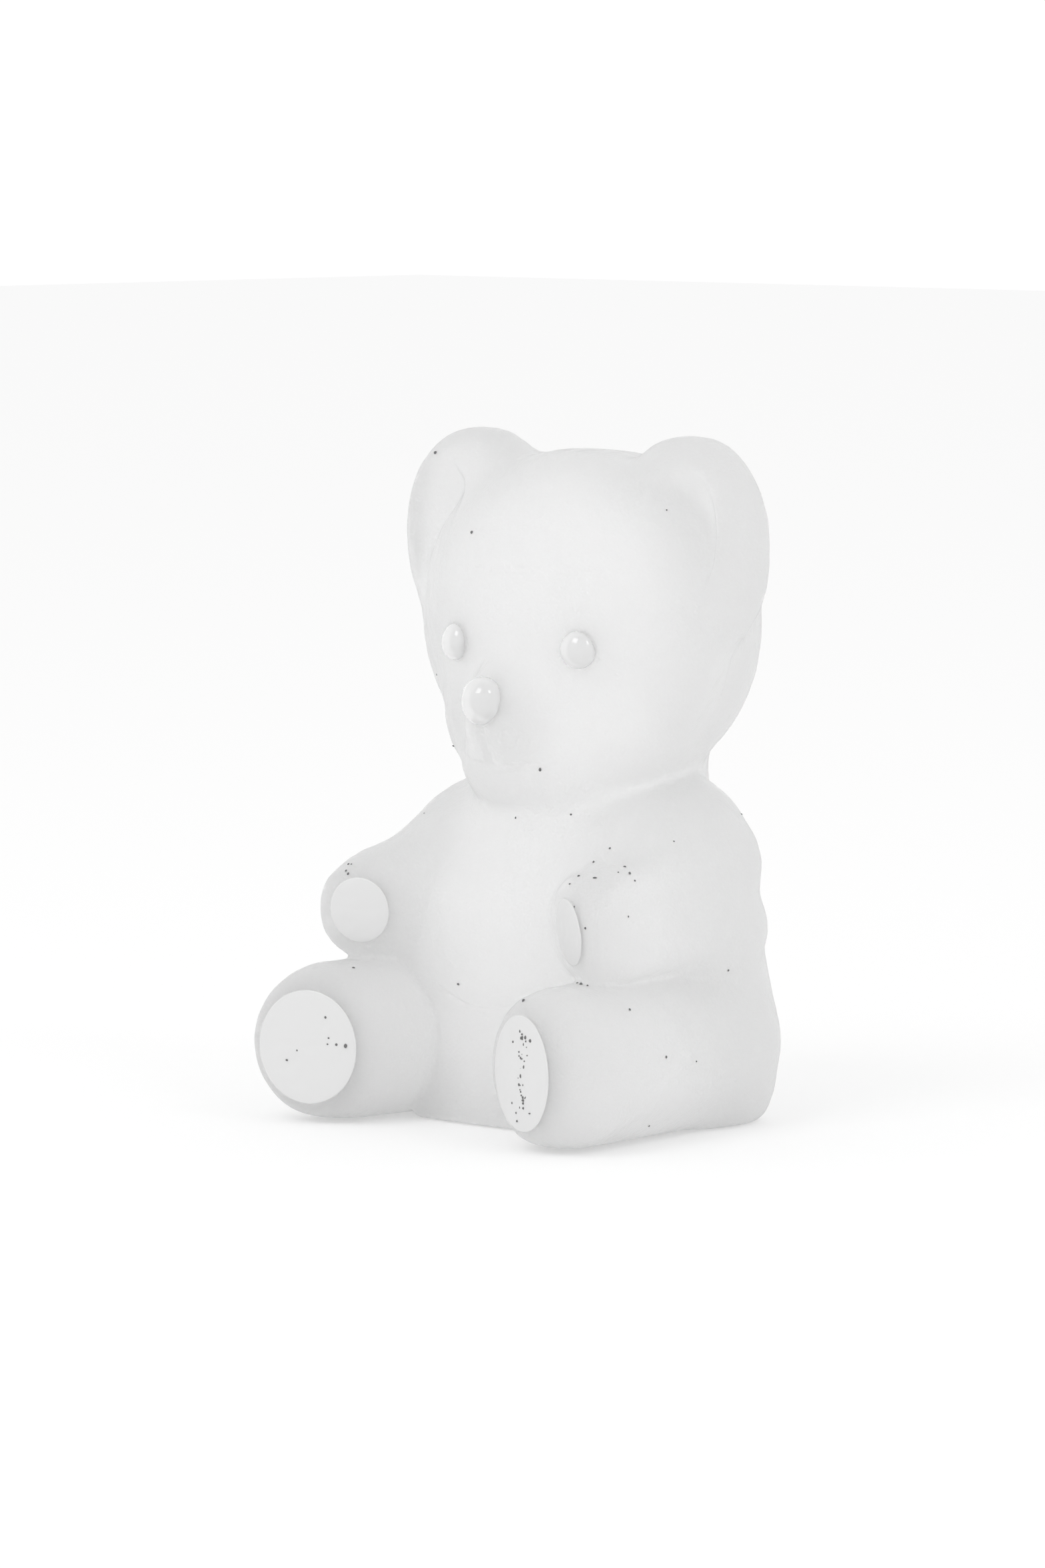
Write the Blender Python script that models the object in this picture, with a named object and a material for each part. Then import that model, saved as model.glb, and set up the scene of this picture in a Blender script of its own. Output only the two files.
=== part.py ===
"""Seated teddy bear figurine in solid satin crystal.

The bear faces -Y and stands on Z = 0. X = 0 is its plane of symmetry, and its own left is +X. The casting
is one blended skin. It is divided at the neck, ears, shoulders and hips, and round each polished spot, so
that every form is a solid of its own. Sizes are in metres. Y = 0 is the mould seam through the ears until
stand_on_origin() moves the whole figurine over the origin.
"""

from math import cos, radians, sin

import bmesh
import bpy
from mathutils import Matrix, Vector
from mathutils.bvhtree import BVHTree

MM = 0.001

# Distance between neighbouring solids
CLEARANCE = 0.3 * MM

# Fineness of the blended skin: cell of the remesh, and how far its joins are eased
SKIN_CELL = 2.4 * MM
SKIN_EASING = 5

# Squareness of each rounded form's outline and fullness of its depth: 2 is an ellipse, more is squarer
TORSO_SQUARENESS, BELLY_FULLNESS = 2.6, 3.2
HIP_SQUARENESS = 2.4
SKULL_SQUARENESS = 2.2
FACE_SQUARENESS, FACE_FULLNESS = 2.1, 1.7
EAR_SQUARENESS = 2.2

# Torso
TORSO_WIDTH = 48 * MM
TORSO_DEPTH = 32 * MM
TORSO_MIDDLE = 20 * MM  # height of its widest level
TORSO_TOP = 46 * MM
CHEST_WIDTH = 36 * MM
CHEST_DEPTH = 32 * MM
CHEST_HEIGHT = 29 * MM
CHEST_TOP = 48.5 * MM
BELLY_WIDTH = 41 * MM
BELLY_DEPTH = 32.6 * MM
BELLY_HEIGHT = 28 * MM
BELLY_BOTTOM = 9 * MM  # hidden behind the apron
CHEST_FORWARD = 1.2 * MM  # chest's centre ahead of the mould seam
BELLY_FORWARD = 5 * MM
HIP_WIDTH = 49.6 * MM
HIP_RADII = (12.6 * MM, 11.8 * MM, 15 * MM)
HIP_BACK = 3 * MM  # hips behind the mould seam
HIP_MIDDLE = 9 * MM
NECK_RADIUS = 13.7 * MM
NECK_BACK = 2.2 * MM
APRON_WIDTH = 30 * MM  # the low wall of glass between the legs
APRON_HEIGHT = 15.6 * MM
APRON_REACH = 19.9 * MM  # ahead of the mould seam
APRON_EDGE = 2 * MM

# Head
HEAD_BOTTOM = 44 * MM  # lowest point of the skull above the table
HEAD_WIDTH = 51.8 * MM
HEAD_HEIGHT = 44 * MM
HEAD_BACK = 1.2 * MM  # skull's centre behind the mould seam
SKULL_INSET = 1.9 * MM  # skull inside the face's outline, at each side
SKULL_DEPTH = 32.6 * MM
FACE_FORWARD = 5.2 * MM  # centre of the broad face ahead of the skull's
FACE_DEPTH = 22.6 * MM
FACE_INSET = 1.1 * MM  # face inside the skull's outline, at top and bottom
FACE_MARGIN = 0.5 * MM  # skin kept round the face beside the ear hollows
JAW_RADII = (16.2 * MM, 13 * MM, 10.6 * MM)
JAW_FORWARD = 2.5 * MM
JAW_RISE = 7.8 * MM  # above the skull's lowest point
CHEEK_RADII = (8.2 * MM, 8.5 * MM, 8.5 * MM)
CHEEK_SPREAD = 9.2 * MM
CHEEK_FORWARD = 5.5 * MM
CHIN_RADII = (11.5 * MM, 8.8 * MM, 7.2 * MM)
CHIN_FORWARD = 9.5 * MM
CHIN_RISE = 2.8 * MM  # above the skull's lowest point
MUZZLE_RADII = (7.2 * MM, 8.4 * MM, 8.6 * MM)
MUZZLE_REACH = 5.9 * MM  # muzzle ahead of the face
MUZZLE_TILT = -12  # degrees
MUZZLE_DROP = 2.4 * MM  # muzzle's centre below the nose's

# Ears
EAR_WIDTH = 24.4 * MM
EAR_HEIGHT = 28.6 * MM
EAR_THICKNESS = 12.8 * MM
EAR_SINK_SIDE = 7.1 * MM  # ear's centre inside the face's edge
EAR_SINK_TOP = 11.4 * MM  # ear's centre below the top of the skull
EAR_FORWARD = 1.4 * MM
EAR_HOLLOW_RADII = (7.6 * MM, 6.6 * MM, 13.4 * MM)
EAR_HOLLOW_SHIFT = (1.5 * MM, -7.8 * MM, -0.8 * MM)  # hollow's centre from the ear's
EAR_HOLLOW_LEAN = 18  # degrees outwards at the top

# Arms: a shoulder, and three tapering bars side by side that run to the hand
SHOULDER_HEIGHT = 36.5 * MM
SHOULDER_SPREAD = 12.5 * MM  # shoulder's centre from the plane of symmetry
SHOULDER_RADIUS = 9.5 * MM
SHOULDER_REACH = 7 * MM
SHOULDER_BACK = 2 * MM
HAND_RADIUS = 7.2 * MM
HAND_RISE = 6 * MM  # hand's centre above the crease over the legs
HAND_SPREAD = 19 * MM
HAND_REACH = 24.4 * MM  # tip of the hand ahead of the mould seam
HAND_TOE_IN = 20  # degrees
HAND_DROOP = 0.12  # fall of the hand's axis, per unit ahead
HAND_EDGE = 4.4 * MM
HAND_LENGTH = 9.2 * MM
ARM_BARS = (  # each bar's ends (outwards, backwards and upwards from the hand's tip) and its radii there
    ((0.2 * MM, 25.4 * MM, 6.0 * MM), (1.9 * MM, 7.6 * MM, 2.0 * MM), 6.4 * MM, 5.8 * MM),  # top ridge
    ((-5.5 * MM, 18.4 * MM, 6.9 * MM), (-1.2 * MM, 7.6 * MM, 0.0), 8.5 * MM, 7.4 * MM),  # inner side
    ((0.2 * MM, 28.4 * MM, -1.6 * MM), (1.2 * MM, 7.8 * MM, 0.2 * MM), 6.2 * MM, 6.8 * MM),  # underside
)

# Legs
LEG_RADIUS = 10.8 * MM
LEG_SINK = 0.5 * MM  # how much of its roundness is cut off flat at the table
FOOT_SPREAD = 19.6 * MM
FOOT_REACH = 34.2 * MM  # sole's centre ahead of the mould seam
FOOT_TOE_IN = 17.5  # degrees
FOOT_EDGE = 4.6 * MM
FOOT_LENGTH = 10 * MM
KNEE_SPLAY = 1.8 * MM  # knee further out than the sole
HIP_SPREAD = 16.6 * MM
TREAD_RADIUS = 5.6 * MM

# The upright plane on each side that divides the limbs from the torso: a point of it, and its angle in plan
LIMB_ROOT = (9.6 * MM, -19.3 * MM)
LIMB_CUT_ANGLE = 50  # degrees

# Space that the head takes: a bowl under the chin and the neck, beyond the skull by these margins
HEAD_SPACE_FORWARD = 7 * MM
HEAD_SPACE_SIDE = 5.1 * MM
HEAD_SPACE_DEPTH = 10 * MM
HEAD_SPACE_BELOW = 4 * MM

# Space that an ear takes: outside a drum round the face, between two angles above the horizontal
EAR_DRUM_MARGIN = 0.8 * MM
EAR_DRUM_DROP = 4 * MM
EAR_START, EAR_END = 9, 64  # degrees
EAR_DRUM_STEPS = 18

# Polished spots
EYE_WIDTH = 5 * MM
EYE_DEPTH = 2 * MM  # half its thickness
EYE_PROUD = 1.1 * MM
EYE_SPREAD = 11 * MM
EYE_HEIGHT = 62.9 * MM
NOSE_WIDTH = 5.6 * MM
NOSE_HEIGHT = 6.4 * MM
NOSE_PROUD = 2.4 * MM
NOSE_LEVEL = 56 * MM
SOLE_PAD_RADIUS = 7 * MM
HAND_PAD_RADIUS = 4.1 * MM
PAD_THICKNESS = 2 * MM

SATIN, SATIN_ROUGHNESS = (0.86, 0.87, 0.88, 1.0), 0.5
POLISHED, POLISHED_ROUGHNESS = (0.94, 0.95, 0.96, 1.0), 0.04
CLARITY = 0.6  # share of the light that passes straight on
CREASE_ANGLE = 40  # degrees: edges sharper than this shade as creases

SIDES = {"left": 1, "right": -1}
FRONT = Vector((0, -1, 0))

for old in list(bpy.data.objects):
    bpy.data.objects.remove(old)


# ---- forms: each adds one closed shell to a bmesh ----


def add_ellipsoid(bm, centre, radii, power=2.0, bulge=None, tilt=0.0, lean=0.0, rings=14):
    """An ellipsoid. Its outline from the front is squarer as power rises above 2, and so is its depth as
    bulge does. tilt turns it about X and lean about Y, in degrees."""
    bulge = bulge or power
    made = bmesh.ops.create_uvsphere(bm, u_segments=2 * rings, v_segments=rings, radius=1.0)
    turn = Matrix.Rotation(radians(lean), 3, "Y") @ Matrix.Rotation(radians(tilt), 3, "X")
    for vert in made["verts"]:
        rim = (abs(vert.co.x) ** power + abs(vert.co.z) ** power) ** (1 / power)
        unit = vert.co / (rim**bulge + abs(vert.co.y) ** bulge) ** (1 / bulge)
        vert.co = Vector(centre) + turn @ Vector(a * b for a, b in zip(unit, radii))


def add_capsule(bm, start, end, start_radius, end_radius):
    """Two half balls joined by a tapering skin."""
    start, end = Vector(start), Vector(end)
    turn = Vector((0, 0, 1)).rotation_difference(end - start).to_matrix()
    made = bmesh.ops.create_uvsphere(bm, u_segments=28, v_segments=15, radius=1.0)
    for vert in made["verts"]:
        centre, radius = (end, end_radius) if vert.co.z > 0 else (start, start_radius)
        vert.co = centre + turn @ vert.co * radius


def add_barrel(bm, end, axis, radius, length, edge):
    """A cylinder with rounded rims, whose outer face is at end and which runs back along -axis."""
    turn = Vector((0, 0, 1)).rotation_difference(axis).to_matrix().to_4x4()
    place = Matrix.Translation(Vector(end) - axis * length / 2) @ turn
    made = bmesh.ops.create_cone(
        bm, cap_ends=True, segments=40, radius1=radius, radius2=radius, depth=length, matrix=place
    )
    faces = {face for vert in made["verts"] for face in vert.link_faces}
    rims = {e for face in faces if len(face.verts) > 4 for e in face.edges}
    if edge:
        bmesh.ops.bevel(bm, geom=list(rims), offset=edge, segments=4, profile=0.5, affect="EDGES")


def add_block(bm, low, high, edge=0.0, turn=0.0, pivot=(0, 0, 0)):
    """A box between two corners, its edges rounded by edge, turned about Z by turn degrees at pivot."""
    low, high = Vector(low), Vector(high)
    size = Matrix.Diagonal((*(high - low), 1))
    spin = Matrix.Translation(pivot) @ Matrix.Rotation(radians(turn), 4, "Z")
    place = spin @ Matrix.Translation((low + high) / 2) @ size
    made = bmesh.ops.create_cube(bm, size=1.0, matrix=place)
    if edge:
        edges = {e for vert in made["verts"] for e in vert.link_edges}
        bmesh.ops.bevel(bm, geom=list(edges), offset=edge, segments=3, profile=0.5, affect="EDGES")


# ---- objects ----


def new_object(name, bm_or_mesh, assembly):
    """An object under the assembly, from a bmesh (which it frees) or from a mesh."""
    mesh = bm_or_mesh
    if isinstance(bm_or_mesh, bmesh.types.BMesh):
        mesh = bpy.data.meshes.new(name)
        bmesh.ops.recalc_face_normals(bm_or_mesh, faces=bm_or_mesh.faces)
        bm_or_mesh.to_mesh(mesh)
        bm_or_mesh.free()
    obj = bpy.data.objects.new(name, mesh)
    bpy.context.scene.collection.objects.link(obj)
    obj.parent = assembly
    return obj


def new_cutter(name, bm_or_mesh, assembly):
    cutter = new_object(name, bm_or_mesh, assembly)
    cutter.hide_render = True
    cutter.display_type = "WIRE"
    return cutter


def boolean(obj, cutter, operation):
    step = obj.modifiers.new(cutter.name, "BOOLEAN")
    step.operation = operation
    step.solver = "EXACT"
    step.object = cutter


def evaluated_mesh(obj):
    """The mesh that obj's modifiers make, with obj removed."""
    bpy.context.view_layer.update()
    graph = bpy.context.evaluated_depsgraph_get()
    mesh = bpy.data.meshes.new_from_object(obj.evaluated_get(graph), depsgraph=graph)
    bpy.data.objects.remove(obj)
    return mesh


# ---- the casting ----


def add_torso(bm):
    torso_height = TORSO_TOP - TORSO_MIDDLE
    torso = (TORSO_WIDTH / 2, TORSO_DEPTH / 2, torso_height)
    add_ellipsoid(bm, (0, 0, TORSO_MIDDLE), torso, power=TORSO_SQUARENESS)
    chest = (CHEST_WIDTH / 2, CHEST_DEPTH / 2, CHEST_HEIGHT / 2)
    add_ellipsoid(bm, (0, -CHEST_FORWARD, CHEST_TOP - chest[2]), chest)
    belly = (BELLY_WIDTH / 2, BELLY_DEPTH / 2, BELLY_HEIGHT / 2)
    add_ellipsoid(bm, (0, -BELLY_FORWARD, BELLY_BOTTOM + belly[2]), belly, power=TORSO_SQUARENESS, bulge=BELLY_FULLNESS)
    for side in SIDES.values():
        centre = (side * (HIP_WIDTH / 2 - HIP_RADII[0]), HIP_BACK, HIP_MIDDLE)
        add_ellipsoid(bm, centre, HIP_RADII, power=HIP_SQUARENESS)
    add_capsule(
        bm,
        (0, NECK_BACK, CHEST_TOP - NECK_RADIUS),
        (0, NECK_BACK, HEAD_BOTTOM + NECK_RADIUS),
        NECK_RADIUS,
        NECK_RADIUS,
    )
    half = APRON_WIDTH / 2
    add_block(bm, (-half, -APRON_REACH, -APRON_HEIGHT), (half, 0, APRON_HEIGHT), edge=APRON_EDGE)


def head_centre():
    return Vector((0, HEAD_BACK, HEAD_BOTTOM + HEAD_HEIGHT / 2))


def add_face(bm, grow=0.0):
    centre = head_centre() - Vector((0, FACE_FORWARD, 0))
    face = (HEAD_WIDTH / 2 + grow, FACE_DEPTH / 2 + grow, HEAD_HEIGHT / 2 - FACE_INSET + grow)
    add_ellipsoid(bm, centre, face, power=FACE_SQUARENESS, bulge=FACE_FULLNESS)


def add_head(bm):
    skull = (HEAD_WIDTH / 2 - SKULL_INSET, SKULL_DEPTH / 2, HEAD_HEIGHT / 2)
    add_ellipsoid(bm, head_centre(), skull, power=SKULL_SQUARENESS)
    add_face(bm)
    add_ellipsoid(bm, (0, -JAW_FORWARD, HEAD_BOTTOM + JAW_RISE), JAW_RADII)
    for side in SIDES.values():
        cheek = (side * CHEEK_SPREAD, -CHEEK_FORWARD, HEAD_BOTTOM + CHEEK_RADII[2])
        add_ellipsoid(bm, cheek, CHEEK_RADII)
    add_ellipsoid(bm, (0, -CHIN_FORWARD, HEAD_BOTTOM + CHIN_RISE), CHIN_RADII)
    muzzle = HEAD_BACK - FACE_FORWARD - FACE_DEPTH / 2 - MUZZLE_REACH + MUZZLE_RADII[1]
    add_ellipsoid(bm, (0, muzzle, NOSE_LEVEL - MUZZLE_DROP), MUZZLE_RADII, tilt=MUZZLE_TILT)


def ear_centre(side):
    across = side * (HEAD_WIDTH / 2 - EAR_SINK_SIDE)
    return Vector((across, -EAR_FORWARD, HEAD_BOTTOM + HEAD_HEIGHT - EAR_SINK_TOP))


def add_ear(bm, side):
    radii = (EAR_WIDTH / 2, EAR_THICKNESS / 2, EAR_HEIGHT / 2)
    add_ellipsoid(bm, ear_centre(side), radii, power=EAR_SQUARENESS)


def ear_hollow(side, assembly):
    """Cutter for the scoop in an ear, which opens forward and runs round the face's edge."""
    scoop, edge = bmesh.new(), bmesh.new()
    across, forward, up = EAR_HOLLOW_SHIFT
    centre = ear_centre(side) + Vector((side * across, forward, up))
    add_ellipsoid(scoop, centre, EAR_HOLLOW_RADII, lean=side * EAR_HOLLOW_LEAN)
    add_face(edge, FACE_MARGIN)
    hollow, face = (new_cutter(name, bm, assembly) for name, bm in (("scoop", scoop), ("face", edge)))
    boolean(hollow, face, "DIFFERENCE")
    mesh = evaluated_mesh(hollow)
    bpy.data.objects.remove(face)
    return new_cutter("ear_hollow", mesh, assembly)


def hand_axis(side):
    lean = radians(HAND_TOE_IN)
    return Vector((-side * sin(lean), -cos(lean), -HAND_DROOP)).normalized()


def hand_tip(side):
    return Vector((side * HAND_SPREAD, -HAND_REACH, knee_crease() + HAND_RISE))


def add_arm(bm, side):
    """A broad arm, flat along the flank, whose top slopes in to the chest."""
    tip = hand_tip(side)
    shoulder = Vector((side * SHOULDER_SPREAD, SHOULDER_BACK, SHOULDER_HEIGHT))
    add_capsule(bm, shoulder, shoulder - Vector((0, SHOULDER_REACH, 0)), SHOULDER_RADIUS, SHOULDER_RADIUS)
    for start, end, start_radius, end_radius in ARM_BARS:
        ends = [tip + Vector((side * across, back, up)) for across, back, up in (start, end)]
        add_capsule(bm, *ends, start_radius, end_radius)
    add_barrel(bm, tip, hand_axis(side), HAND_RADIUS, HAND_LENGTH, HAND_EDGE)


def knee_crease():
    """Height of the crease between the arms and the legs."""
    return 2 * LEG_RADIUS


def foot_axis(side):
    lean = radians(FOOT_TOE_IN)
    return Vector((-side * sin(lean), -cos(lean), 0))


def sole_centre(side):
    return Vector((side * FOOT_SPREAD, -FOOT_REACH, LEG_RADIUS - LEG_SINK))


def add_leg(bm, side):
    """A foot turned in a little, the thigh behind it, and the flat tread that it all stands on."""
    sole = sole_centre(side)
    add_barrel(bm, sole, foot_axis(side), LEG_RADIUS, FOOT_LENGTH, FOOT_EDGE)
    knee = sole + Vector((side * KNEE_SPLAY, FOOT_LENGTH, 0))
    hip = Vector((side * HIP_SPREAD, HIP_BACK, sole.z))
    add_capsule(bm, knee, hip, LEG_RADIUS, LEG_RADIUS)
    toe = Vector((side * FOOT_SPREAD, FOOT_LENGTH - FOOT_REACH, TREAD_RADIUS - LEG_SINK))
    heel = Vector((side * HIP_SPREAD, 2 * HIP_BACK, TREAD_RADIUS - LEG_SINK))
    add_capsule(bm, toe, heel, TREAD_RADIUS, TREAD_RADIUS)


def casting_mesh(assembly):
    """Every form blended into one skin and cut flat on the table."""
    bm = bmesh.new()
    add_torso(bm)
    add_head(bm)
    for side in SIDES.values():
        add_ear(bm, side)
        add_arm(bm, side)
        add_leg(bm, side)
    skin = new_object("casting", bm, assembly)
    blend = skin.modifiers.new("blend", "REMESH")
    blend.mode = "VOXEL"
    blend.voxel_size = SKIN_CELL
    ease = skin.modifiers.new("ease", "SMOOTH")
    ease.iterations = SKIN_EASING
    table = bmesh.new()
    reach = 2 * HEAD_WIDTH
    add_block(table, (-reach, -reach, -reach), (reach, reach, 0))
    cutters = [new_cutter("table", table, assembly)]
    cutters += [ear_hollow(side, assembly) for side in SIDES.values()]
    for cutter in cutters:
        boolean(skin, cutter, "DIFFERENCE")
    mesh = evaluated_mesh(skin)
    for cutter in cutters:
        bpy.data.objects.remove(cutter)
    return mesh


# ---- zones: the space that each form takes of the casting, grown where its neighbours are cut ----


def head_zone(bm, grow):
    """A bowl under the chin and the neck, which opens out above the cheeks."""
    centre = head_centre() - Vector((0, HEAD_SPACE_FORWARD, 0))
    bowl = (
        HEAD_WIDTH / 2 + HEAD_SPACE_SIDE + grow,
        SKULL_DEPTH / 2 + HEAD_SPACE_DEPTH + grow,
        HEAD_HEIGHT / 2 + HEAD_SPACE_BELOW + grow,
    )
    add_ellipsoid(bm, centre, bowl)
    points = [vert.co.copy() for vert in bm.verts if vert.co.z < centre.z + SKIN_CELL / 2]
    reach = 4 * HEAD_WIDTH
    points += [Vector((x * reach, y * reach, centre.z + reach)) for x in (-1, 1) for y in (-1, 1)]
    bm.clear()
    bmesh.ops.convex_hull(bm, input=[bm.verts.new(point) for point in points])


def ear_zone(bm, side, grow):
    """Outside a drum that runs round the face, from the cheek to the crown."""
    middle = head_centre() - Vector((0, 0, EAR_DRUM_DROP))
    drum = HEAD_WIDTH / 2 + EAR_DRUM_MARGIN - grow
    start, end = radians(EAR_START) - grow / drum, radians(EAR_END) + grow / drum
    turns = [start + (end - start) * step / EAR_DRUM_STEPS for step in range(EAR_DRUM_STEPS + 1)]
    outline = [(drum, turn) for turn in turns] + [(2 * HEAD_WIDTH, turn) for turn in reversed(turns)]
    ring = [
        bm.verts.new((side * radius * cos(turn), -HEAD_WIDTH, middle.z + radius * sin(turn)))
        for radius, turn in outline
    ]
    sector = bmesh.ops.extrude_face_region(bm, geom=[bm.faces.new(ring)])
    far = [item for item in sector["geom"] if isinstance(item, bmesh.types.BMVert)]
    bmesh.ops.translate(bm, verts=far, vec=(0, 2 * HEAD_WIDTH, 0))


def limb_zone(bm, side, low, high, grow):
    """Everything ahead of the upright plane at the root of the limbs, between two heights."""
    reach = 2 * HEAD_WIDTH
    add_block(
        bm,
        (-reach, -reach, low - grow),
        (reach, grow, high + grow),
        turn=side * LIMB_CUT_ANGLE,
        pivot=(side * LIMB_ROOT[0], LIMB_ROOT[1], 0),
    )


def pad_zone(bm, spot, axis, radius, grow):
    beyond = 2 * PAD_THICKNESS
    add_barrel(bm, spot + axis * beyond, axis, radius + grow, beyond + PAD_THICKNESS + grow, 0)


def sole_zone(bm, side, grow):
    pad_zone(bm, sole_centre(side), foot_axis(side), SOLE_PAD_RADIUS, grow)


def palm_zone(bm, side, grow):
    pad_zone(bm, hand_tip(side), hand_axis(side), HAND_PAD_RADIUS, grow)


# ---- the figurine ----


def material(name, colour, roughness):
    made = bpy.data.materials.new(name)
    made.use_nodes = True
    shader = made.node_tree.nodes["Principled BSDF"]
    shader.inputs["Base Color"].default_value = colour
    shader.inputs["Roughness"].default_value = roughness
    shader.inputs["Metallic"].default_value = 0.0
    shader.inputs["Transmission Weight"].default_value = CLARITY
    made.diffuse_color = colour
    return made


class Figurine:
    """The nodes, each cut from the one casting."""

    def __init__(self):
        self.assembly = bpy.data.objects.new("figurine", None)
        bpy.context.scene.collection.objects.link(self.assembly)
        self.satin = material("satin_crystal", SATIN, SATIN_ROUGHNESS)
        self.polished = material("polished_crystal", POLISHED, POLISHED_ROUGHNESS)
        self.casting = casting_mesh(self.assembly)
        self.surface = BVHTree.FromPolygons(
            [vert.co for vert in self.casting.vertices],
            [face.vertices for face in self.casting.polygons],
        )

    def face_point(self, across, height):
        """The point of the face's skin at that place, seen from the front."""
        start = Vector((across, -2 * HEAD_WIDTH, height))
        return self.surface.ray_cast(start, -FRONT)[0]

    def cutter(self, name, build, *sizes):
        bm = bmesh.new()
        build(bm, *sizes)
        return new_cutter(name, bm, self.assembly)

    def node(self, name, inside, outside, finish):
        """The casting inside one zone and outside others."""
        obj = new_object(name, self.casting.copy(), self.assembly)
        for zone in inside:
            boolean(obj, zone, "INTERSECT")
        for zone in outside:
            boolean(obj, zone, "DIFFERENCE")
        self.finish(obj, finish)

    def dome(self, name, centre, radii):
        """A polished eye or nose, and the socket that holds it."""
        grown = [radius + CLEARANCE for radius in radii]
        socket = self.cutter(f"{name}_socket", add_ellipsoid, centre, grown)
        bm = bmesh.new()
        add_ellipsoid(bm, centre, radii)
        self.finish(new_object(name, bm, self.assembly), self.polished)
        return socket

    def finish(self, obj, finish):
        obj.data.materials.clear()
        obj.data.materials.append(finish)
        obj.data.shade_smooth()
        obj.data.set_sharp_from_angle(angle=radians(CREASE_ANGLE))

    def build(self):
        head = self.cutter("head_space", head_zone, 0)
        head_grown = self.cutter("head_clearance", head_zone, CLEARANCE)
        sockets, ears, limbs = [], [], []
        below, above = -HEAD_BOTTOM, 2 * HEAD_BOTTOM
        for word, side in SIDES.items():
            skin = self.face_point(side * EYE_SPREAD, EYE_HEIGHT)
            centre = skin - FRONT * (EYE_DEPTH - EYE_PROUD)
            sockets.append(self.dome(f"{word}_eye", centre, (EYE_WIDTH / 2, EYE_DEPTH, EYE_WIDTH / 2)))

            space = self.cutter(f"{word}_ear_space", ear_zone, side, 0)
            ears.append(self.cutter(f"{word}_ear_clearance", ear_zone, side, CLEARANCE))
            self.node(f"{word}_ear", [space], [], self.satin)

            palm = self.cutter(f"{word}_palm_space", palm_zone, side, 0)
            palm_grown = self.cutter(f"{word}_palm_clearance", palm_zone, side, CLEARANCE)
            space = self.cutter(f"{word}_arm_space", limb_zone, side, knee_crease() + CLEARANCE, above, 0)
            self.node(f"{word}_arm", [space], [head_grown, palm_grown], self.satin)
            self.node(f"{word}_hand_pad", [palm], [], self.polished)

            sole = self.cutter(f"{word}_sole_space", sole_zone, side, 0)
            sole_grown = self.cutter(f"{word}_sole_clearance", sole_zone, side, CLEARANCE)
            space = self.cutter(f"{word}_leg_space", limb_zone, side, below, knee_crease(), 0)
            limbs.append(self.cutter(f"{word}_limb_clearance", limb_zone, side, below, above, CLEARANCE))
            self.node(f"{word}_leg", [space], [sole_grown], self.satin)
            self.node(f"{word}_foot_pad", [sole], [], self.polished)

        skin = self.face_point(0, NOSE_LEVEL)
        radii = (NOSE_WIDTH / 2, NOSE_WIDTH / 2, NOSE_HEIGHT / 2)
        centre = skin - FRONT * (radii[1] - NOSE_PROUD)
        sockets.append(self.dome("nose", centre, radii))
        self.node("head", [head], ears + sockets, self.satin)
        self.node("torso", [], [head_grown, *limbs], self.satin)
        self.stand_on_origin()

    def stand_on_origin(self):
        """Puts the middle of the figurine's footprint box at the origin."""
        depth = [vert.co.y for vert in self.casting.vertices]
        self.assembly.location.y = -(min(depth) + max(depth)) / 2


Figurine().build()
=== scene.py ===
"""The looks of the seated crystal teddy bear.

One continuous satin skin is sculpted as a distance field, from ellipsoids and capsules that melt into
each other, and meshed here. The polished eyes, nose, soles and paw pads are pieces of their own, half
sunk in it. The sculpt is in millimetres, with y = 0 on the mould seam through the ears, z = 0 on the
table and the bear facing -y, so its left is +x. to_frame() takes it to the frame's metres.
"""

from math import cos, pi, radians, sin

import bpy
import numpy as np
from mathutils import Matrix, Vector

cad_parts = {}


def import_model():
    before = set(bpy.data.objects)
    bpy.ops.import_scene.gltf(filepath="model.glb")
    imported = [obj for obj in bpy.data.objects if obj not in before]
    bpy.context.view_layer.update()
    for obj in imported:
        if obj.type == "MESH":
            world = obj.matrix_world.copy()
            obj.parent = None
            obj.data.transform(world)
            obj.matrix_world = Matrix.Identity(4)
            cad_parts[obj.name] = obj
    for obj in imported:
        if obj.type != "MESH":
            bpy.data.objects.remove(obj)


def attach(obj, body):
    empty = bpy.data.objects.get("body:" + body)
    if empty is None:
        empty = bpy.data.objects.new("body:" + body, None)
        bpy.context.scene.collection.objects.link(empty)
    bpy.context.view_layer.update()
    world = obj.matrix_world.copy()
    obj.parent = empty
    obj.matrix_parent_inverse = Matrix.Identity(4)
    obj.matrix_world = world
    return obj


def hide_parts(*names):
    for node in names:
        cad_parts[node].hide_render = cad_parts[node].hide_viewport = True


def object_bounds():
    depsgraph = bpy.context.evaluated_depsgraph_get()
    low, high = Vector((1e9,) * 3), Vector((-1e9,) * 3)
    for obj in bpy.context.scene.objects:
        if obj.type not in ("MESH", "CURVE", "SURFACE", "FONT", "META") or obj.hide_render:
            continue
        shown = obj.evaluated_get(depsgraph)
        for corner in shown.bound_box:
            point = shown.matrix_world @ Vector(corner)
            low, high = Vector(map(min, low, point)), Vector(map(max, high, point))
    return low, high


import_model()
cad_low, cad_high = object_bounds()

# ---- where the sculpt stands in the frame ----

MM = 0.001
TOE_REACH = 36.0  # the toes are this far ahead of the mould seam
SEAM_Y = cad_low.y / MM + TOE_REACH


def to_frame(points):
    """Sculpt points, in mm, in the frame's metres."""
    return (np.asarray(points, float) + (0, SEAM_Y, 0)) * MM


# ---- distance fields: each takes points (n, 3) and gives the signed distance of each, in mm ----

TINY = 1e-6  # keeps divisors away from zero


def length(v):
    return np.sqrt(np.einsum("ij,ij->i", v, v))


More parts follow.
